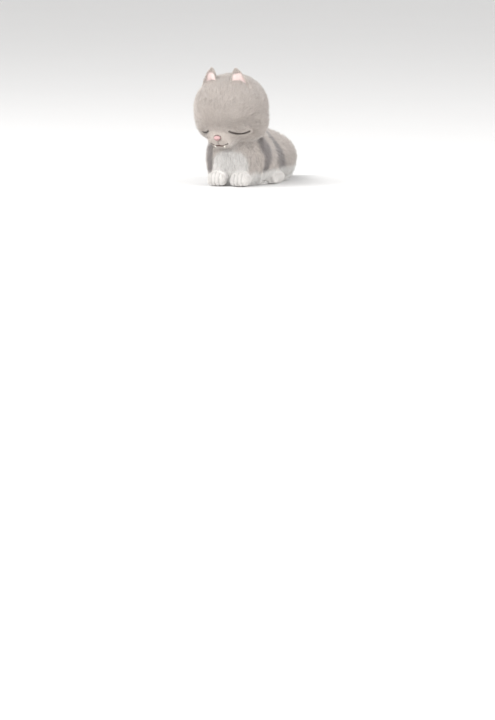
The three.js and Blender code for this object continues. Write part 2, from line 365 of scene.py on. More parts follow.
def earShares(side):
    # each skin corner's height along an ear, its share of the half width, and how much it faces the opening
    base, tip = (facePlace(side * x, y, z) for x, y, z in (earMake["base"], earMake["tip"]))
    sideward, forward, upward = earMake["opensTo"]
    up = unit(tip - base)
    opens = side * sideward * faceAcross + forward * faceForward + upward * faceUp
    opens = unit(opens - (opens @ up) * up)
    height = (skin.points - base) @ up / np.linalg.norm(tip - base)
    left = 1 - earMake["narrowing"] * np.clip(height, 0, 1)
    half = earMake["halfWidth"] * mm * left ** earMake["roundness"]
    width = np.abs((skin.points - base) @ np.cross(opens, up)) / (half * (1 + earMake["flare"] * height))
    return height, width, coatNormals @ opens, up


def earInsideAmount():
    amount = np.zeros(len(skin.points))
    for sideName, side in sides.items():
        height, width, facing, _ = earShares(side)
        bare = (1 - ramp(width, *earMake["bareHalf"])) * (1 - ramp(height, *earMake["bareTop"]))
        bare = bare * ramp(facing, *earMake["bareFacing"])
        amount = np.maximum(amount, bare * ownedBy("ear_" + sideName))
    return skin.relaxed(amount, rounds=1)


def trimEars():
    for sideName, side in sides.items():
        height, _, _, up = earShares(side)
        pull = earMake["tipTrim"] * mm * np.clip(height, 0, 1) ** 2 * ownedBy("ear_" + sideName)
        skin.points -= pull[:, None] * up


def waver(size, amount):
    # a slow unevenness along the edges of zones and markings, from three crossing waves
    x, y, z = (skin.points / (size * mm)).T
    waves = np.sin(x + 1.3 * z) + np.sin(1.7 * y - z + 2) + 0.6 * np.sin(3.1 * x + 2.3 * y + 1.9 * z)
    return amount * mm * waves


# Where the zones end, in mm: on the body from front to back, on the head from its middle
zoneEdges = {
    "rumpFront": 20, "chestBack": -22, "chestFacing": -0.1,
    "cheekInner": 23, "cheekTop": 8, "cheekFront": 26, "jawTop": -16,
    "faceHalf": 26, "faceBack": 14, "faceLow": -18, "faceTop": 25,
    "muzzleAt": (0, 36, -11), "muzzleRadius": 13,
    "ragged": (2.5, 0.8),  # how long and how deep the edges waver
}


def zoneOfCorners():
    edge = zoneEdges
    ragged = waver(*edge["ragged"])
    y = skin.points[:, 1] + 2 * ragged
    zone = np.full(len(skin.points), zoneNames.index("back"))

    def put(name, where):
        zone[where] = zoneNames.index(name)

    put("rump", isTorso & (y > edge["rumpFront"] * mm))
    put("chest", isTorso & (y < edge["chestBack"] * mm) & (coatNormals[:, 1] < edge["chestFacing"]))
    put("crown", isHead)
    beside = (np.abs(across) > edge["cheekInner"] * mm) & (above + ragged < edge["cheekTop"] * mm)
    below = above < edge["jawTop"] * mm
    put("cheek", isHead & (ahead < edge["cheekFront"] * mm) & (beside | below))
    inFront = (np.abs(across) + ragged < edge["faceHalf"] * mm) & (ahead > edge["faceBack"] * mm)
    level = (above > edge["faceLow"] * mm) & (above + ragged < edge["faceTop"] * mm)
    put("face", isHead & inFront & level)
    fromMuzzle = np.linalg.norm(skin.points - facePlace(*edge["muzzleAt"]), axis=1)
    put("muzzle", isHead & (fromMuzzle < edge["muzzleRadius"] * mm))
    put("earBack", isEar)
    put("earInside", pinkAmount > 0.5)
    put("paw", isPaw)
    put("tail", isTail)
    return zone


pinkAmount = earInsideAmount()
zone = zoneOfCorners()


def byZone(key):
    values = np.array([zones[name][key] for name in zoneNames], float)
    return skin.relaxed(values[zone], skinMake["zoneBlend"])


coatLength = byZone("length") * mm
coatLift = np.radians(byZone("lift"))
for name in ("earInside", "earBack"):
    # hairs in the ear and behind it keep their own lengths up to the rim
    coatLength = np.where(zone == zoneNames.index(name), zones[name]["length"] * mm, coatLength)


# The tail's route, in mm, which its hair follows
tailRoute = np.array([
    (0, 46, 31), (9, 60, 33), (15.5, 70.5, 31), (18.5, 77, 21), (12.5, 80.5, 10.2), (-6, 80, 8),
    (-26, 71.5, 7.4), (-40, 58, 7), (-46, 44, 6.7),
]) * mm


def alongTail(points):
    # how far along the tail each point is, from 0 to 1, and which way the tail runs there
    starts, runs = tailRoute[:-1], np.diff(tailRoute, axis=0)
    reach = np.linalg.norm(runs, axis=1)
    offsets = points[:, None] - starts[None]
    t = np.clip((offsets * runs).sum(2) / reach ** 2, 0, 1)
    distance = np.linalg.norm(offsets - t[..., None] * runs, axis=2)
    nearest = distance.argmin(1)
    before = np.concatenate(([0], np.cumsum(reach)))[nearest]
    rows = np.arange(len(points))
    return (before + t[rows, nearest] * reach[nearest]) / reach.sum(), unit(runs)[nearest]


tailShare, tailWay = alongTail(skin.points)


# Which way the hair lies: back and down the body, back from the nose, up the ears, forward on the paws
lieMake = {
    "body": (0.0, 1.0, -0.55),
    "foreleg": (-0.25, -0.7, -0.45), "forelegTop": 24,  # inwards on both sides, below this height in mm
    "hindleg": (0, 0.7, -0.7),
    "chest": (0, 0.1, -1), "chestBack": -25, "chestFacing": -0.3,
    "headFrom": (0, 42, -4),  # the place before the nose that it runs away from
    "earLean": 0.1,
    "paw": (0, -1, -1.2),
    "levelBetween": (2, 9),  # mm above the floor, where it stops pointing down
    "raisedBelow": 7, "leastUp": 0.05,  # lower than this, no tuft rises downwards
}


def lieOfCoat():
    make = lieMake
    x, y, z = skin.points.T
    lie = np.tile(make["body"], (len(skin.points), 1))
    foreleg = ownedBy("foreleg") & (z < make["forelegTop"] * mm)
    lie[foreleg] = make["foreleg"]
    lie[foreleg, 0] *= np.sign(x[foreleg])
    lie[ownedBy("hindleg")] = make["hindleg"]
    lie[isTorso & (y < make["chestBack"] * mm) & (coatNormals[:, 1] < make["chestFacing"])] = make["chest"]
    lie[isHead] = unit(skin.points - facePlace(*make["headFrom"]))[isHead]
    lie[isEar] = faceUp - make["earLean"] * faceForward
    lie[isPaw] = make["paw"]
    lie[isTail] = tailWay[isTail]
    low = 1 - rampIn(z, make["levelBetween"])
    lie[:, 2] *= 1 - low * ~isPaw
    lie = skin.relaxed(unit(lie), skinMake["lieBlend"])
    lie -= (lie * coatNormals).sum(1, keepdims=True) * coatNormals
    return unit(lie)


def upOfCoat():
    up = coatNormals.copy()
    low = skin.points[:, 2] < lieMake["raisedBelow"] * mm
    up[low, 2] = np.maximum(up[low, 2], lieMake["leastUp"])
    return unit(up)


coatUp = upOfCoat()
coatRise = lieOfCoat() * np.cos(coatLift)[:, None] + coatUp * np.sin(coatLift)[:, None]
floorTouch = (skin.points[:, 2] < skinMake["flatTop"]) & (coatNormals[:, 2] < skinMake["flatFacing"])

# Creases between the toes, in mm
toeMake = {
    "spread": {"forepaw": 4.3, "hindpaw": 3.7},  # from one crease to the next
    "reach": (3.5, 7.5),  # where they fade, from the paw's front
    "width": 0.75, "depth": 1.15,
    "hair": 0.35,  # the share by which hair is shorter in them
}


def toeCreases():
    x, y, z = skin.points.T
    amount = np.zeros(len(skin.points))
    for kind, spread in toeMake["spread"].items():
        for sideName in sides:
            node = kind + "_" + sideName
            low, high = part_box(node)
            fromFront = (y - low[1]) / mm
            along = (1 - ramp(fromFront, *toeMake["reach"])) * ownedBy(node)
            for crease in (-1, 0, 1):
                away = (x - (low[0] + high[0]) / 2) / mm - crease * spread
                amount = np.maximum(amount, along * np.exp(-((away / toeMake["width"]) ** 2)))
    return amount


creaseAmount = toeCreases()
coatLength = coatLength * (1 - toeMake["hair"] * creaseAmount)


def sinkSkin():
    # the skin sinks by the coat's depth, but not away from the floor, and hardly at the ears
    bends = np.array([coats[zones[name]["piece"]]["bend"] for name in zoneNames])[zone]
    rise = np.sin(coatLift) - skin.relaxed(bends, skinMake["bendBlend"])
    depth = coatLength * np.maximum(rise, skinMake["leastRise"]) * skinMake["depthShare"]
    depth = np.where(isEar, skinMake["earDepth"], depth)
    depth = skin.relaxed(depth * ~floorTouch, skinMake["depthBlend"])
    skin.points = skin.points - coatNormals * depth[:, None]
    trimEars()
    skin.points -= coatNormals * (creaseAmount * toeMake["depth"] * mm)[:, None]
    skin.points[:, 2] = np.maximum(skin.points[:, 2], skinMake["floorGap"])
    skin.points = skin.relaxed(skin.points, rounds=1)
    skin.write()
    shadeSmooth(skinMesh)


sinkSkin()
across, ahead, above = faceCoordinates(skin.points)
say("skin inside the coat")

# Closed lids and mouth, drawn as lines on the face, in mm
lidMake = {
    "middle": 18.9, "half": 7.5,  # across the face
    "height": -4.8, "sag": 2.3, "outerRise": -0.2,  # above the eyes' middle, level
    "radius": 0.68, "points": 25, "rise": 0.15,
}
mouthMake = {
    "half": 9.0, "height": -13.9,  # above the head's middle
    "droop": 0.5, "lobes": 1.35,  # how deep the line hangs on each side, and how near the middle
    "cornerRise": 1.6, "cornerCurl": 4,
    "radius": 0.55, "gapeHalf": (3.0, 4.6), "gapeRadius": 1.05, "points": 31,
    "philtrumTop": -8.4, "philtrumRadius": 0.30, "philtrumPoints": 7,
}
castFrom = 80  # mm in front of the head, where lines are cast on to it from
skinFaces = arrayOf(skinMesh.polygons, "vertices", 4, np.int32)
skinTree = BVHTree.FromPolygons(skin.points.tolist(), skinFaces.tolist())


def castOn(start, direction):
    # the place on the skin that is met first, and the skin's direction there
    place, normal, _, _ = skinTree.ray_cast(Vector(start), Vector(direction))
    return np.array(place), np.array(normal)


def onFace(x, up):
    return castOn(facePlace(x, castFrom, up), -faceForward)


def lidLine(side):
    line = []
    for t in np.linspace(-1, 1, lidMake["points"]):
        x = side * (lidMake["middle"] + lidMake["half"] * t) * mm
        up = (lidMake["height"] - lidMake["sag"] * (1 - t * t) + lidMake["outerRise"] * t) * mm
        start = eyesMiddle + x * faceAcross + castFrom * mm * faceLevel + (0, 0, up)
        line.append(castOn(start, -faceLevel))
    return line


def mouthLine():
    make = mouthMake
    line = []
    for t in np.linspace(-1, 1, make["points"]):
        lobe = math.sin(math.pi * min(abs(t) * make["lobes"], 1))
        up = make["height"] - make["droop"] * lobe + make["cornerRise"] * abs(t) ** make["cornerCurl"]
        line.append(onFace(t * make["half"], up))
    return line


def philtrumLine():
    heights = np.linspace(mouthMake["philtrumTop"], mouthMake["height"], mouthMake["philtrumPoints"])
    return [onFace(0, up) for up in heights]


def distanceFrom(line):
    spots = np.array([place for place, _ in line])
    return np.linalg.norm(skin.points[:, None] - spots, axis=2).min(1)


# What lies round the lines of the face, in mm
faceShade = {
    "lidBare": 0.8, "mouthBare": 1.2, "noseBare": 3.0,
    "noseFlat": 1.25, "noseBack": 30,  # the bare place at the nose is wider than tall, and this far ahead
    "lidDark": (0.4, 1.7), "mouthDark": (0.3, 1.4),
    "lidHair": 1.5, "lidHairWithin": 3,  # short hairs round the lids
    "padsAt": (0, 40, -10.5), "padsPale": (9, 14),  # the whisker pads are paler
    "earHairTop": (0.42, 0.66),  # where the ear's long hairs end, as shares of its height
}

lidDistance = np.minimum(distanceFrom(lidLine(1)), distanceFrom(lidLine(-1)))
mouthDistance = distanceFrom(mouthLine())
noseAxes = np.stack((faceAcross, faceShade["noseFlat"] * faceUp), 1)
noseDistance = np.linalg.norm((skin.points - noseMiddle) @ noseAxes, axis=1)
noseDistance = np.where(ahead > faceShade["noseBack"] * mm, noseDistance, 1)

# Markings, in mm: two dark bands round the body, white below, a white bib, rings on the tail, and painted
# light on the body
markings = {
    "bands": (
        {"top": -30, "low": -22, "half": 5.2},
        {"top": -6, "low": 9, "half": 6.2},
    ),
    "bandTop": 48, "bandLow": 17, "bandOver": 0.3,  # a band leans as it goes down, and on over the top
    "bandEdge": 1.8, "bandWave": (7, 0.5),
    "shoulder": (-20, -16.5), "shoulderBack": -35,  # its right shoulder is dark from here outwards
    "whiteTop": 17.5, "whiteSlope": 0.05, "whiteEdge": 1.4,
    "whiteWave": (6, 0.4),  # how long and how deep its edge waves
    "bibHalf": 18.5, "bibTop": 39, "bibSpring": 18, "bibArch": 1.5, "bibWave": (5, 0.35),
    "bibEdge": (0.9, 1.08),  # as shares of its own outline
    "bibBack": (-20, -15),
    "pawWhite": 0.86,
    "tailRings": 6, "ringEdge": (0.0, 0.7), "ringShade": 0.85,
    "ringsFrom": (0.18, 0.3), "tailTip": (0.86, 0.9),  # as shares of the tail's length
    "fade": (-10, 30), "bodyLightShare": 0.45,  # painted light lifts the body's tone against the shade on its flank, and fades towards the rump
}


def bandAmount():
    make = markings
    x, y, z = skin.points.T
    share = (make["bandTop"] * mm - z) / ((make["bandTop"] - make["bandLow"]) * mm)
    share = np.clip(share, -make["bandOver"], 1)
    soft = make["bandEdge"] * mm
    amount = np.zeros(len(skin.points))
    for band in make["bands"]:
        middle = (band["top"] + (band["low"] - band["top"]) * share) * mm
        away = np.abs(y - middle + waver(*make["bandWave"]))
        amount = np.maximum(amount, 1 - ramp(away, band["half"] * mm - soft, band["half"] * mm + soft))
    shoulder = (1 - rampIn(x, make["shoulder"])) * (y < make["shoulderBack"] * mm)
    amount = np.maximum(amount, shoulder) * isTorso
    rings = ramp(np.sin(2 * math.pi * make["tailRings"] * tailShare), *make["ringEdge"])
    rings = np.maximum(rings * ramp(tailShare, *make["ringsFrom"]), ramp(tailShare, *make["tailTip"]))
    return skin.relaxed(np.where(isTail, make["ringShade"] * rings, amount), rounds=2)


def whiteAmount():
    make = markings
    x, y, z = skin.points.T
    level = make["whiteTop"] * mm + make["whiteSlope"] * y + waver(*make["whiteWave"])
    soft = make["whiteEdge"] * mm
    belly = 1 - ramp(z, level - soft, level + soft)
    spring, half = make["bibSpring"] * mm, make["bibHalf"] * mm
    rise = np.maximum(z - spring, 0) / ((make["bibTop"] - make["bibSpring"]) * mm)
    out = np.hypot(x / half, rise ** make["bibArch"]) + waver(*make["bibWave"]) / half
    bib = (1 - ramp(out, *make["bibEdge"])) * (1 - rampIn(y, make["bibBack"]))
    return skin.relaxed(np.where(isTorso, np.maximum(belly, bib), make["pawWhite"] * isPaw), rounds=3)


def bodyLightAmount():
    # painted light on the body and tail, against the shade that the head and the lamps leave on the flank
    fade = 1 - markings["bodyLightShare"] * rampIn(skin.points[:, 1], markings["fade"])
    return skin.relaxed((isTorso | isTail).astype(float), rounds=12) * fade


def hairPresence():
    # 1 where tufts grow, 0 where the skin is bare
    shade = faceShade
    bare = (lidDistance < shade["lidBare"] * mm) | (mouthDistance < shade["mouthBare"] * mm)
    bare |= (noseDistance < shade["noseBare"] * mm) | floorTouch
    isLeft = skin.points @ faceAcross > headMiddle @ faceAcross
    earHeight = np.where(isLeft, earShares(1)[0], earShares(-1)[0])
    inEar = zone == zoneNames.index("earInside")
    return np.where(bare, 0.0, np.where(inEar, 1 - ramp(earHeight, *shade["earHairTop"]), 1.0))


fromPads = np.linalg.norm(skin.points - facePlace(*faceShade["padsAt"]), axis=1)
darkLids = 1 - rampIn(lidDistance, faceShade["lidDark"])
darkMouth = 1 - rampIn(mouthDistance, faceShade["mouthDark"])
nearLids = lidDistance < faceShade["lidHairWithin"] * mm
skinValues = {
    "body": bodyLightAmount(),
    "band": bandAmount(),
    "white": whiteAmount(),
    "pink": pinkAmount,
    "crease": creaseAmount,
    "pale": isHead * (1 - rampIn(fromPads, faceShade["padsPale"])),
    "line": np.maximum(darkLids, darkMouth),
}
coatValues = {
    **skinValues,
    "presence": hairPresence(),
    "hairLength": np.where(nearLids, np.minimum(coatLength, faceShade["lidHair"] * mm), coatLength),
    "hairRise": coatRise,
    "hairUp": coatUp,
}
say("markings and lie of the coat")

# Materials
coatLook = {
    "grey": (0.52, 0.466, 0.427),
    # a lighter copy of the grey: painted light on the body, against the shade on its flank
    "body": (0.70, 0.64, 0.595),
    "band": (0.355, 0.322, 0.315),
    "white": (0.92, 0.90, 0.875),
    "pink": (0.95, 0.77, 0.74),
    "pale": (0.575, 0.515, 0.47),
    "line": (0.045, 0.032, 0.026),
    # painted shade in the creases between the toes
    "creaseShade": 0.2,
    "mottle": 0.10, "mottleScale": 70.0,  # how much and how finely the coat's tone wanders
    "edgeScale": 900.0, "edgeMix": 0.5,  # how finely and how far single hairs cross a marking's edge
    # tufts are darker at the root and paler at the tip: painted shade deep in the coat, and the hair's own
    # paler tips
    "rootShade": 0.93,
    "tipShade": 1.10,
    "tipOnset": 0.7,  # the lower, the sooner a tuft pales on the way to its tip
    "tuftSpread": 0.24,  # how much one tuft differs from the next
}


def newMaterial(name):
    made = bpy.data.materials.new(name)
    made.use_nodes = True
    made.node_tree.nodes.clear()
    return made, Net(made.node_tree)


def finished(material, net, sockets):
    shader = net.node("ShaderNodeBsdfPrincipled", None, sockets)
    net.node("ShaderNodeOutputMaterial", None, {"Surface": shader})
    return material


def objectPlace(net):
    return net.node("ShaderNodeTexCoord", out="Object")


def noise(net, place, scale, detail=2.0):
    return net.node("ShaderNodeTexNoise", None, {"Vector": place, "Scale": scale, "Detail": detail})


def value(net, name):
    return net.node("ShaderNodeAttribute", {"attribute_name": name}, out="Fac")


def coatColour(net):
    look = coatLook
    place = objectPlace(net)
    mottle = 1 - look["mottle"] + 2 * look["mottle"] * noise(net, place, look["mottleScale"], 3.0)
    tone = net.scaled(look["grey"], mottle)
    # painted light: the body's coat is lighter, against the shade on its flank
    tone = net.blend(value(net, "body"), tone, net.scaled(look["body"], mottle))
    tone = net.blend(value(net, "pale"), tone, colour(*look["pale"]))
    edge = noise(net, place, look["edgeScale"]) * look["edgeMix"] - look["edgeMix"] / 2
    for name in ("band", "white", "pink", "line"):
        amount = value(net, name)
        if name in ("band", "white"):
            # single hairs of each colour cross the edge
            crossing = amount * (1 - amount) * 4  # 1 halfway across the edge
            amount = net.node("ShaderNodeClamp", None, {"Value": amount + edge * crossing})
        tone = net.blend(amount, tone, colour(*look[name]))
    # painted shade in the toe creases
    return net.scaled(tone, 1 - look["creaseShade"] * value(net, "crease"))


def coatMaterial():
    look = coatLook
    material, net = newMaterial("coatHair")
    tone = coatColour(net)
    tuft = value(net, "tuftTone")
    along = value(net, "alongTuft")
    # painted shade near each tuft's root, paling to the hair's own paler tip
    rise = look["rootShade"] + (look["tipShade"] - look["rootShade"]) * along ** look["tipOnset"]
    spread = 1 - look["tuftSpread"] / 2 + look["tuftSpread"] * tuft
    return finished(material, net, {
        "Base Color": net.scaled(tone, rise * spread),
        "Roughness": 0.70 + 0.16 * tuft,
        "Sheen Weight": 0.4,
        "Sheen Roughness": 0.5,
        "Specular IOR Level": 0.18,
    })


def skinMaterial():
    material, net = newMaterial("skinUnderCoat")
    place = objectPlace(net)
    nap = noise(net, place, 1400.0, 3.0)
    tone = net.scaled(coatColour(net), 0.72 + 0.28 * nap)
    bump = net.node("ShaderNodeBump", None, {"Strength": 0.5, "Distance": 0.0003, "Height": nap})
    return finished(material, net, {
        "Base Color": tone,
        "Roughness": 0.6 + 0.2 * nap,
        "Sheen Weight": 0.25,
        "Specular IOR Level": 0.3,
        "Normal": bump,
    })


hairMaterial = coatMaterial()

skinMesh.materials.clear()
skinMesh.materials.append(skinMaterial())
for name, values in skinValues.items():
    putValues(skinMesh, name, values)
finishPiece("skin", skinMesh, "grey_coat", *fleshNodes)


# Geometry Nodes that grow tufts, whiskers and lines
def newTree(name, inputs):
    tree = bpy.data.node_groups.new(name, "GeometryNodeTree")
    for label, kind in inputs.items():
        tree.interface.new_socket(name=label, in_out="INPUT", socket_type="NodeSocket" + kind)
    tree.interface.new_socket(name="Result", in_out="OUTPUT", socket_type="NodeSocketGeometry")
    net = Net(tree)
    return tree, net, net.node("NodeGroupInput")


def runTree(name, mesh, tree, values):
    # the tree's inputs are set by identifier, then its result becomes a plain mesh
    base = objectFrom(name, mesh)
    change = base.modifiers.new("grow", "NODES")
    change.node_group = tree
    for item in tree.interface.items_tree:
        if item.in_out == "INPUT" and item.name in values:
            change[item.identifier] = values[item.name]
    result = evaluated(base)
    bpy.data.objects.remove(base)
    return result


def named(net, name, kind="FLOAT"):
    return net.node("GeometryNodeInputNamedAttribute", {"data_type": kind}, {"Name": name})


def stored(net, geometry, name, content, kind="FLOAT", domain="POINT"):
    sockets = {"Geometry": geometry, "Name": name, "Value": content}
    return net.node("GeometryNodeStoreNamedAttribute", {"data_type": kind, "domain": domain}, sockets)


def randomNumber(net, low, high, seed):
    settings = {"data_type": "FLOAT"}
    return net.node("FunctionNodeRandomValue", settings, {2: low, 3: high, "Seed": seed}, out=1)


def randomVector(net, size, seed):
    settings = {"data_type": "FLOAT_VECTOR"}
    return net.node("FunctionNodeRandomValue", settings, {0: (-size,) * 3, 1: (size,) * 3, "Seed": seed})


tuftMake = {
    "sides": 3, "steps": 2,
    "fullness": (0.75, 3.2),  # how full a tuft is at its root, and how much it swells on the way
    "flatness": 0.6,  # its depth as a share of its width
    "shortest": 0.72, "longest": 1.18,
    "closest": 0.8, "density": 3.0,  # against one tuft to each square of the spacing
    "stray": 0.16,  # how far one tuft strays from its neighbours
    "clump": 0.75,  # how strongly patches of tufts lean together
    "clumpSize": 330.0,  # higher is finer
    "twist": 0.35,  # how far one tuft turns against the next
    "patch": 0.003,  # each tuft's own patch of the bake map
    "seed": 7,
}


def tuftShape(net, sidesRound, segments, thickness, bend):
    # a pointed lock one unit long, fullest near its middle, flattened, and bent towards the skin (-X)
    cone = net.node("GeometryNodeMeshCone", {"fill_type": "NGON"}, {
        "Vertices": sidesRound,
        "Side Segments": segments,
        "Radius Top": 0.0,
        "Radius Bottom": thickness * 0.5,
        "Depth": 1.0,
    })
    marked = stored(net, cone, "tuftUv", cone.also("UV Map"), "FLOAT2", "CORNER")
    place = net.node("ShaderNodeSeparateXYZ", None, {0: net.node("GeometryNodeInputPosition")})
    height = place.also("Z")
    marked = stored(net, marked, "alongTuft", height)
    least, swell = tuftMake["fullness"]
    fuller = least + swell * height * (1 - height)
    moved = net.node("ShaderNodeCombineXYZ", None, {
        "X": place.also("X") * fuller * tuftMake["flatness"] - bend * height * height,
        "Y": place.also("Y") * fuller,
        "Z": height,
    })
    return net.node("GeometryNodeSetPosition", None, {"Geometry": marked, "Position": moved})


def grownFrom(net, points, shape, direction, upward, size):
    rotation = net.node("FunctionNodeAxesToRotation", {"primary_axis": "Z", "secondary_axis": "X"}, {
        "Primary Axis": direction,
        "Secondary Axis": upward,
    })
    placed = net.node("GeometryNodeInstanceOnPoints", None, {
        "Points": points,
        "Instance": shape,
        "Rotation": rotation,
        "Scale": net.node("ShaderNodeCombineXYZ", None, {"X": size, "Y": size, "Z": size}),
    })
    return net.node("GeometryNodeRealizeInstances", None, {"Geometry": placed})


def endTree(net, geometry, material):
    smooth = net.node("GeometryNodeSetShadeSmooth", None, {"Geometry": geometry})
    dressed = net.node("GeometryNodeSetMaterial", None, {"Geometry": smooth, "Material": material})
    net.node("NodeGroupOutput", None, {"Result": dressed})


def coatTree():
    tree, net, inputs = newTree("growCoat", {
        "Skin": "Geometry", "Spacing": "Float", "Thickness": "Float", "Bend": "Float",
        "Floor": "Float", "Seed": "Int", "Finish": "Material",
    })
    make = tuftMake
    spacing = inputs.also("Spacing")
    seed = inputs.also("Seed")
    roots = net.node("GeometryNodeDistributePointsOnFaces", {"distribute_method": "POISSON"}, {
        "Mesh": inputs.also("Skin"),
        "Distance Min": spacing * make["closest"],
        "Density Max": make["density"] / (spacing * spacing),
        "Density Factor": named(net, "presence"),
        "Seed": seed,
    })
    roots = stored(net, roots, "tuftTone", randomNumber(net, 0.0, 1.0, seed))
    lean = net.node("ShaderNodeTexNoise", None, {"Scale": make["clumpSize"], "Detail": 1.0}, out="Color")
    lean = net.scaled(net.vector("SUBTRACT", lean, (0.5, 0.5, 0.5)), make["clump"])
    direction = net.vector("ADD", named(net, "hairRise", "FLOAT_VECTOR"), lean)
    direction = net.vector("ADD", direction, randomVector(net, make["stray"], seed))
    upward = net.vector("ADD", named(net, "hairUp", "FLOAT_VECTOR"), randomVector(net, make["twist"], seed))
    size = named(net, "hairLength") * randomNumber(net, make["shortest"], make["longest"], seed)
    shape = tuftShape(net, make["sides"], make["steps"], inputs.also("Thickness"), inputs.also("Bend"))
    solid = grownFrom(net, roots, shape, direction, upward, size)
    # no tuft reaches into the floor, and each has its patch of the bake map at its root's place
    place = net.node("ShaderNodeSeparateXYZ", None, {0: net.node("GeometryNodeInputPosition")})
    height = net.sum("MAXIMUM", place.also("Z"), inputs.also("Floor"))
    raised = net.node("ShaderNodeCombineXYZ", None, {0: place.also("X"), 1: place.also("Y"), 2: height})
    solid = net.node("GeometryNodeSetPosition", None, {"Geometry": solid, "Position": raised})
    patch = net.scaled(named(net, "tuftUv", "FLOAT_VECTOR"), make["patch"])
    spot = net.vector("ADD", named(net, "rootUv", "FLOAT_VECTOR"), patch)
    endTree(net, stored(net, solid, "OFBake", spot, "FLOAT2", "CORNER"), inputs.also("Finish"))
    return tree


def regionMesh(name, chosen):
    # the skin's faces of one zone of the coat, with the coat's values and an unwrap of their own
    used, inverse = np.unique(skinFaces[chosen], return_inverse=True)
    mesh = meshFrom(name, skin.points[used], inverse.reshape(-1, 4).tolist())
    for key, values in coatValues.items():
        putValues(mesh, key, values[used])
    unwrap(mesh)
    return mesh


unwrapMake = {"sharpest": 70, "margin": 0.004, "border": 0.002}  # degrees, then shares of the map


def unwrap(mesh):
    base = objectFrom("unwrap", mesh)
    mesh.uv_layers.new(name="rootUv")
    bpy.context.view_layer.objects.active = base
    base.select_set(True)
    bpy.ops.object.mode_set(mode="EDIT")
    bpy.ops.mesh.select_all(action="SELECT")
    sharpest = math.radians(unwrapMake["sharpest"])
    bpy.ops.uv.smart_project(angle_limit=sharpest, island_margin=unwrapMake["margin"])
    bpy.ops.object.mode_set(mode="OBJECT")
    bpy.data.objects.remove(base)
    layer = mesh.uv_layers["rootUv"].uv
    spots = arrayOf(layer, "vector", 2)
    low, high = spots.min(0), spots.max(0)
    room = 1 - 2 * unwrapMake["border"] - tuftMake["patch"]
    spots = unwrapMake["border"] + (spots - low) / (high - low) * room
    layer.foreach_set("vector", spots.ravel().astype(np.float32))


zoneOfFaces = zone[skinFaces[:, 0]]
keptValues = {*skinValues, "tuftTone", "alongTuft", "OFBake", "position", "sharp_face", "material_index"}


def trimmed(mesh):
    # only what the material and the bake read stays on a finished piece
    for name in [layer.name for layer in mesh.attributes]:
        if name not in keptValues and not name.startswith("."):
            mesh.attributes.remove(mesh.attributes[name])
    return mesh


def growCoats():
    tree = coatTree()
    total = 0
    for index, (name, make) in enumerate(coats.items()):
        wanted = [i for i, zoneName in enumerate(zoneNames) if zones[zoneName]["piece"] == name]
        region = regionMesh(name, np.isin(zoneOfFaces, wanted))
        mesh = runTree("coat_" + name, region, tree, {
            "Spacing": make["spacing"] * mm,
            "Thickness": make["thickness"],
            "Bend": make["bend"],
            "Floor": skinMake["floorGap"],
            "Seed": tuftMake["seed"] + index,
            "Finish": hairMaterial,
        })
        finishPiece("coat_" + name, trimmed(mesh), make["slot"])
        triangles = sum(len(polygon.vertices) - 2 for polygon in mesh.polygons)
        total += triangles
        say("coat", name, triangles, "triangles")
    say("whole coat", total)


growCoats()


# Whiskers, brow hairs and milk teeth grow from single roots
def rootsMesh(name, roots):
    mesh = meshFrom(name, [root["at"] for root in roots], [])
    putValues(mesh, "hairRise", [root["rise"] for root in roots])
    putValues(mesh, "hairUp", [root["up"] for root in roots])
    putValues(mesh, "hairLength", [root["length"] for root in roots])
    return mesh


def spineTree():
    tree, net, inputs = newTree("growSpines", {
        "Roots": "Geometry", "Sides": "Int", "Steps": "Int", "Thickness": "Float", "Bend": "Float",
        "Finish": "Material",
    })
    shape = tuftShape(net, *(inputs.also(name) for name in ("Sides", "Steps", "Thickness", "Bend")))
    points = net.node("GeometryNodeMeshToPoints", None, {"Mesh": inputs.also("Roots")})
    rise, up = named(net, "hairRise", "FLOAT_VECTOR"), named(net, "hairUp", "FLOAT_VECTOR")
    grown = grownFrom(net, points, shape, rise, up, named(net, "hairLength"))
    endTree(net, grown, inputs.also("Finish"))
    return tree


# Whiskers stand in rows (from the top) and columns (from the nose); two numbers are for the first and last
whiskerMake = {
    "rows": 4, "columns": 4, "stagger": 0.12,
    "across": (5.4, 9.6), "above": (-8.2, -13.2),  # mm
    "lengths": (9, 25), "shorter": 0.25, "longestRow": 0.45,  # mm, and how much shorter the outer rows are
    "forward": (0.5, 0.15), "upward": (0.16, -0.39),  # how they point, against 1 sideways
    "rootDepth": 0.3,
    "thickness": 0.010, "bend": 0.10, "sides": 5, "steps": 10,
}
browMake = {
    "across": (13, 16.5, 20), "above": 8.5, "lengths": (9, 13, 11),  # mm
    "off": 0.8, "upward": 0.5, "sideways": 0.25,  # how they point
}


def between(ends, share):
    return ends[0] + (ends[1] - ends[0]) * share


def hairRoot(x, up, length, rise, upward, off=0):
    # off is how far the hair also points straight off the skin
    place, normal = onFace(x, up)
    root = place - whiskerMake["rootDepth"] * mm * normal
    return {"at": root, "rise": off * normal + rise, "up": upward, "length": length * mm}


def whiskerRoots():
    make, brow = whiskerMake, browMake
    roots = []
    for side in sides.values():
        for row in range(make["rows"]):
            for column in range(make["columns"]):
                r, c = row / (make["rows"] - 1), column / (make["columns"] - 1)
                x = between(make["across"], c + make["stagger"] * (row % 2))
                rise = between(make["forward"], c) * faceForward + between(make["upward"], r) * faceUp
                rise = side * faceAcross + rise
                length = between(make["lengths"], c) * (1 - make["shorter"] * abs(r - make["longestRow"]))
                roots.append(hairRoot(side * x, between(make["above"], r), length, rise, (0, 0, 1)))
        for x, length in zip(brow["across"], brow["lengths"]):
            rise = brow["upward"] * faceUp + brow["sideways"] * side * faceAcross
            roots.append(hairRoot(side * x, brow["above"], length, rise, faceForward, brow["off"]))
    return roots


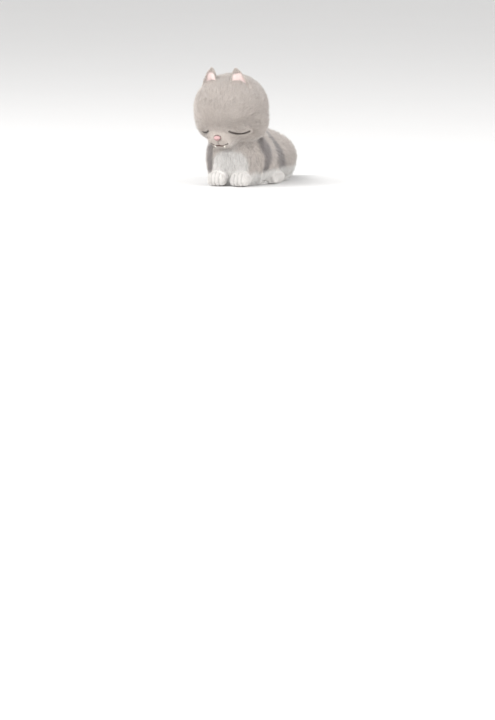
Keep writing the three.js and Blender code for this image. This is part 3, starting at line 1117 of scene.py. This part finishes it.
def whiskerMaterial():
    material, net = newMaterial("whisker")
    along = value(net, "alongTuft")
    tone = net.blend(along, colour(0.62, 0.58, 0.54), colour(0.93, 0.92, 0.90))
    return finished(material, net, {"Base Color": tone, "Roughness": 0.32 + 0.1 * along})


toothMake = {
    "length": 5.4, "forward": 0.4,  # mm, and how far ahead of the solid it stands
    "tilt": 0.07, "thickness": 0.44, "bend": 0.05,  # as shares of its length
    "sides": 14, "steps": 10,
}


def toothRoots():
    roots = []
    for sideName in sides:
        top = middleOf("canine_" + sideName) + faceUp * toothMake["length"] * mm / 2
        top = top + faceForward * toothMake["forward"] * mm
        rise = -faceUp + toothMake["tilt"] * faceForward
        roots.append({"at": top, "rise": rise, "up": faceForward, "length": toothMake["length"] * mm})
    return roots


def enamelMaterial():
    material, net = newMaterial("milkEnamel")
    grain = noise(net, objectPlace(net), 900.0)
    along = value(net, "alongTuft")
    tone = net.blend(along, colour(0.88, 0.81, 0.68), colour(0.97, 0.95, 0.90))
    return finished(material, net, {
        "Base Color": net.scaled(tone, 0.95 + 0.1 * grain),
        "Roughness": 0.16 + 0.1 * grain,
        "Coat Weight": 0.4,
    })


def growSpines(name, roots, make, material, slot, *replaced):
    mesh = runTree(name, rootsMesh(name, roots), spines, {
        "Sides": make["sides"],
        "Steps": make["steps"],
        "Thickness": make["thickness"],
        "Bend": make["bend"],
        "Finish": material,
    })
    finishPiece(name, trimmed(mesh), slot, *replaced)
    say(name, len(roots))


spines = spineTree()
growSpines("whiskers", whiskerRoots(), whiskerMake, whiskerMaterial(), "white_coat")
growSpines("canines", toothRoots(), toothMake, enamelMaterial(), "enamel", "canine_left", "canine_right")


# Lid rims and lips are tapered cords along the lines on the face
cordSides = 10


def cordTree():
    tree, net, inputs = newTree("drawCords", {"Lines": "Geometry", "Sides": "Int", "Finish": "Material"})
    curve = net.node("GeometryNodeMeshToCurve", None, {"Mesh": inputs.also("Lines")})
    sockets = {"Resolution": inputs.also("Sides"), "Radius": 1.0}
    profile = net.node("GeometryNodeCurvePrimitiveCircle", None, sockets)
    swept = net.node("GeometryNodeCurveToMesh", None, {
        "Curve": curve, "Profile Curve": profile, "Scale": named(net, "cordRadius"), "Fill Caps": True,
    })
    endTree(net, swept, inputs.also("Finish"))
    return tree


def drawCords(name, lines, material, slot):
    # each line is its places with their skin directions, its radii and how far it stands off the skin
    points, edges, radii = [], [], []
    for line, widths, rise in lines:
        start = len(points)
        points += [place + rise * normal for place, normal in line]
        edges += [(start + i, start + i + 1) for i in range(len(line) - 1)]
        radii += list(widths)
    base = meshFrom(name, points, [], edges)
    putValues(base, "cordRadius", radii)
    mesh = runTree(name, base, cords, {"Sides": cordSides, "Finish": material})
    finishPiece(name, mesh, slot)
    say(name, len(lines))


def lidMaterial():
    material, net = newMaterial("lidRim")
    grain = noise(net, objectPlace(net), 2200.0)
    bump = net.node("ShaderNodeBump", None, {"Strength": 0.4, "Distance": 0.0002, "Height": grain})
    return finished(material, net, {
        "Base Color": net.blend(grain, colour(0.020, 0.015, 0.013), colour(0.060, 0.045, 0.038)),
        "Roughness": 0.42 + 0.2 * grain,
        "Normal": bump,
    })


def lipMaterial():
    material, net = newMaterial("lipSkin")
    grain = noise(net, objectPlace(net), 1500.0)
    return finished(material, net, {
        "Base Color": net.blend(grain, colour(0.050, 0.028, 0.022), colour(0.13, 0.075, 0.060)),
        "Roughness": 0.30 + 0.25 * grain,
    })


def taper(count, power=0.5, least=0.15):
    t = np.linspace(-1, 1, count)
    return np.maximum((1 - t * t) ** power, least)


def drawFace():
    lid, mouth = lidMake, mouthMake
    widths = taper(lid["points"]) * lid["radius"] * mm
    lids = [(lidLine(side), widths, lid["rise"] * mm) for side in sides.values()]
    drawCords("lid_rims", lids, lidMaterial(), "eyelid_coat")
    xs = np.linspace(-1, 1, mouth["points"]) * mouth["half"]
    gape = 1 - ramp(np.abs(xs), *mouth["gapeHalf"])
    widths = np.maximum(taper(mouth["points"]) * mouth["radius"], gape * mouth["gapeRadius"]) * mm
    philtrum = np.full(mouth["philtrumPoints"], mouth["philtrumRadius"]) * mm
    lips = [(mouthLine(), widths, 0.0), (philtrumLine(), philtrum, 0.0)]
    drawCords("lips", lips, lipMaterial(), "nose_leather")


cords = cordTree()
drawFace()

# Nose leather: a rounded triangle with comma nostrils and the groove below, in mm
noseMake = {
    "half": (3.5, 2.75, 2.9),  # across, up and ahead
    "narrowing": 0.42, "narrowFrom": (-0.1, 1.1),  # towards the bottom, in half heights below the middle
    "flatTop": 0.22, "flatFrom": (0.2, 1),  # and towards the top
    "nostrilAt": (1.75, -0.5), "nostrilSize": (0.80, 0.62), "nostrilDepth": 1.15,
    "nostrilSlant": 0.35, "nostrilEdge": 1.6,
    "grooveWidth": 0.34, "grooveDepth": 0.55, "grooveFrom": (-0.4, 0.8),
    "ahead": 0.2, "up": 0.4,
    "rings": 56, "steps": 72,
}


def noseForm(x, up, out):
    # a place on a ball of radius 1, moved to the nose's own form, and how deep it lies in a nostril
    make = noseMake
    x *= 1 - make["narrowing"] * float(ramp(-up, *make["narrowFrom"]))
    up = up * (1 - make["flatTop"] * float(ramp(up, *make["flatFrom"])))
    x, up, ahead = x * make["half"][0], up * make["half"][1], out * make["half"][2]
    pit = 0.0
    if out > 0:
        away = abs(x) - make["nostrilAt"][0]
        slant = (up - make["nostrilAt"][1]) + make["nostrilSlant"] * away
        wide, tall = make["nostrilSize"]
        pit = math.exp(-((away / wide) ** 2 + (slant / tall) ** 2) * make["nostrilEdge"])
        groove = math.exp(-((x / make["grooveWidth"]) ** 2)) * float(ramp(-up, *make["grooveFrom"]))
        ahead -= make["nostrilDepth"] * pit + make["grooveDepth"] * groove
    place = noseMiddle + faceAcross * x * mm + faceUp * (up + make["up"]) * mm
    return place + faceForward * (ahead + make["ahead"]) * mm, pit


def nosePiece():
    # rings run round the axis that points out of the face
    rings, steps = noseMake["rings"], noseMake["steps"]
    points, pits = [], []
    for i in range(rings + 1):
        tilt = math.pi * i / rings
        for j in range(1 if i in (0, rings) else steps):
            turn = 2 * math.pi * j / steps
            x, up = math.sin(tilt) * math.cos(turn), math.sin(tilt) * math.sin(turn)
            place, pit = noseForm(x, up, math.cos(tilt))
            points.append(place)
            pits.append(pit)
    faces = []
    last = len(points) - 1
    for j in range(steps):
        k = (j + 1) % steps
        faces.append((0, 1 + j, 1 + k))
        for i in range(rings - 2):
            a = 1 + i * steps
            faces.append((a + j, a + steps + j, a + steps + k, a + k))
        a = 1 + (rings - 2) * steps
        faces.append((a + j, last, a + k))
    mesh = meshFrom("nose_leather", points, faces)
    putValues(mesh, "pit", pits)
    shadeSmooth(mesh)
    mesh.materials.append(noseMaterial())
    finishPiece("nose_leather", mesh, "nose_leather", "nose")


def noseMaterial():
    material, net = newMaterial("noseLeather")
    place = objectPlace(net)
    pebbles = net.node("ShaderNodeTexVoronoi", None, {"Vector": place, "Scale": 2600.0}, out="Distance")
    blush = noise(net, place, 350.0, 3.0)
    tone = net.blend(blush, colour(0.43, 0.26, 0.26), colour(0.50, 0.33, 0.325))
    # painted shade in the nostrils, which are only shallow dents: the deeper in, the darker
    tone = net.blend(value(net, "pit"), tone, colour(0.16, 0.06, 0.055))
    bump = net.node("ShaderNodeBump", None, {"Strength": 0.35, "Distance": 0.00015, "Height": pebbles})
    return finished(material, net, {
        "Base Color": net.scaled(tone, 0.92 + 0.16 * pebbles),
        "Roughness": 0.46 + 0.18 * blush,
        "Specular IOR Level": 0.35,
        "Normal": bump,
    })


nosePiece()
say("nose")

# Camera, floor and light
cameraMake = {
    "lens": 250, "sensor": 36,  # mm, long, so that upright lines stay upright
    "farthest": 60,  # metres
    "turn": 20,  # degrees to the kitten's left of its front
    "height": 5,  # degrees above the floor
    "viewTall": 729.36 * mm,  # what the view takes in from top to bottom at the kitten
    "aimRight": 1.52 * mm,  # the view's middle, from the origin
    "aimDown": 175.25 * mm,  # and from the kitten's lowest edge
}


def towards(turn, height):
    # the way to a place so many degrees to the left of the kitten's front, and above the floor
    turn, height = math.radians(turn), math.radians(height)
    return Vector((math.sin(turn) * math.cos(height), -math.cos(turn) * math.cos(height), math.sin(height)))


def aimed(piece, place, look):
    piece.location = place
    piece.rotation_mode = "QUATERNION"
    piece.rotation_quaternion = look.to_track_quat("-Z", "Y")


def addCamera():
    make = cameraMake
    data = bpy.data.cameras.new("camera")
    data.lens = make["lens"]
    data.sensor_width = make["sensor"]
    data.clip_end = make["farthest"]
    camera = objectFrom("camera", data)
    back = towards(make["turn"], make["height"])
    sideways = Vector((math.cos(math.radians(make["turn"])), math.sin(math.radians(make["turn"])), 0))
    upward = back.cross(sideways)
    distance = make["viewTall"] * make["lens"] / make["sensor"]
    lowest = min(Vector(corner) @ upward for corner in fleshPoints)
    # the camera turns, with no shift, so that the kitten stands above the view's middle
    aim = sideways * make["aimRight"] - upward * make["aimDown"]
    aimed(camera, upward * lowest + back * distance, (aim / distance - back).normalized())
    bpy.context.scene.camera = camera


studio = {
    "rings": (0.5, 3.0), "flatRadius": 7.0, "coveRadius": 3.0, "wallTop": 3.1,  # metres
    "round": 64, "coveSteps": 12,
    "floorTone": (0.70, 0.695, 0.69),
    "shade": 0.985,  # the darker places in it
    "air": 0.95,  # light from all round
    "lamps": (
        {"name": "keyLight", "turn": -38, "height": 48, "distance": 2.2, "size": 1.2, "power": 40},
        {"name": "fillLight", "turn": 70, "height": 30, "distance": 2.6, "size": 2.0, "power": 26},
        {"name": "frontLight", "turn": 20, "height": 4, "distance": 3.0, "size": 2.0, "power": 46},
    ),
}


def latheMesh(name, profile, steps):
    turns = np.linspace(0, 2 * math.pi, steps, endpoint=False)
    rings = [[(r * math.cos(a), r * math.sin(a), z) for a in turns] for r, z in profile]
    points = [(0, 0, profile[0][1])] + [p for ring in rings for p in ring]
    faces = [(0, 1 + i, 1 + (i + 1) % steps) for i in range(steps)]
    for k in range(len(rings) - 1):
        base = 1 + k * steps
        for i in range(steps):
            j = (i + 1) % steps
            faces.append((base + i, base + steps + i, base + steps + j, base + j))
    mesh = meshFrom(name, points, faces)
    shadeSmooth(mesh)
    return mesh


def floorMaterial():
    material, net = newMaterial("paleFloor")
    grain = noise(net, objectPlace(net), 6.0, 3.0)
    tone = colour(*studio["floorTone"])
    darker = colour(*(v * studio["shade"] for v in studio["floorTone"]))
    return finished(material, net, {"Base Color": net.blend(grain, darker, tone), "Roughness": 0.9})


def addStudio():
    flat, cove, top = studio["flatRadius"], studio["coveRadius"], studio["wallTop"]
    profile = [(radius, 0) for radius in (*studio["rings"], flat)]
    turns = np.linspace(0, math.pi / 2, studio["coveSteps"])[1:]
    profile += [(flat + cove * math.sin(a), cove * (1 - math.cos(a))) for a in turns]
    profile.append((flat + cove, top))
    floor = objectFrom("floor", latheMesh("floor", profile, studio["round"]))
    floor.data.materials.append(floorMaterial())
    world = bpy.data.worlds.new("studioAir")
    world.use_nodes = True
    air = world.node_tree.nodes["Background"].inputs
    air["Color"].default_value = colour(1, 1, 1)
    air["Strength"].default_value = studio["air"]
    bpy.context.scene.world = world
    for lamp in studio["lamps"]:
        data = bpy.data.lights.new(lamp["name"], "AREA")
        data.energy = lamp["power"]
        data.size = lamp["size"]
        away = towards(lamp["turn"], lamp["height"])
        aimed(objectFrom(lamp["name"], data), away * lamp["distance"], -away)
    bpy.context.scene.view_settings.view_transform = "Standard"


addCamera()
addStudio()
say("camera and studio")
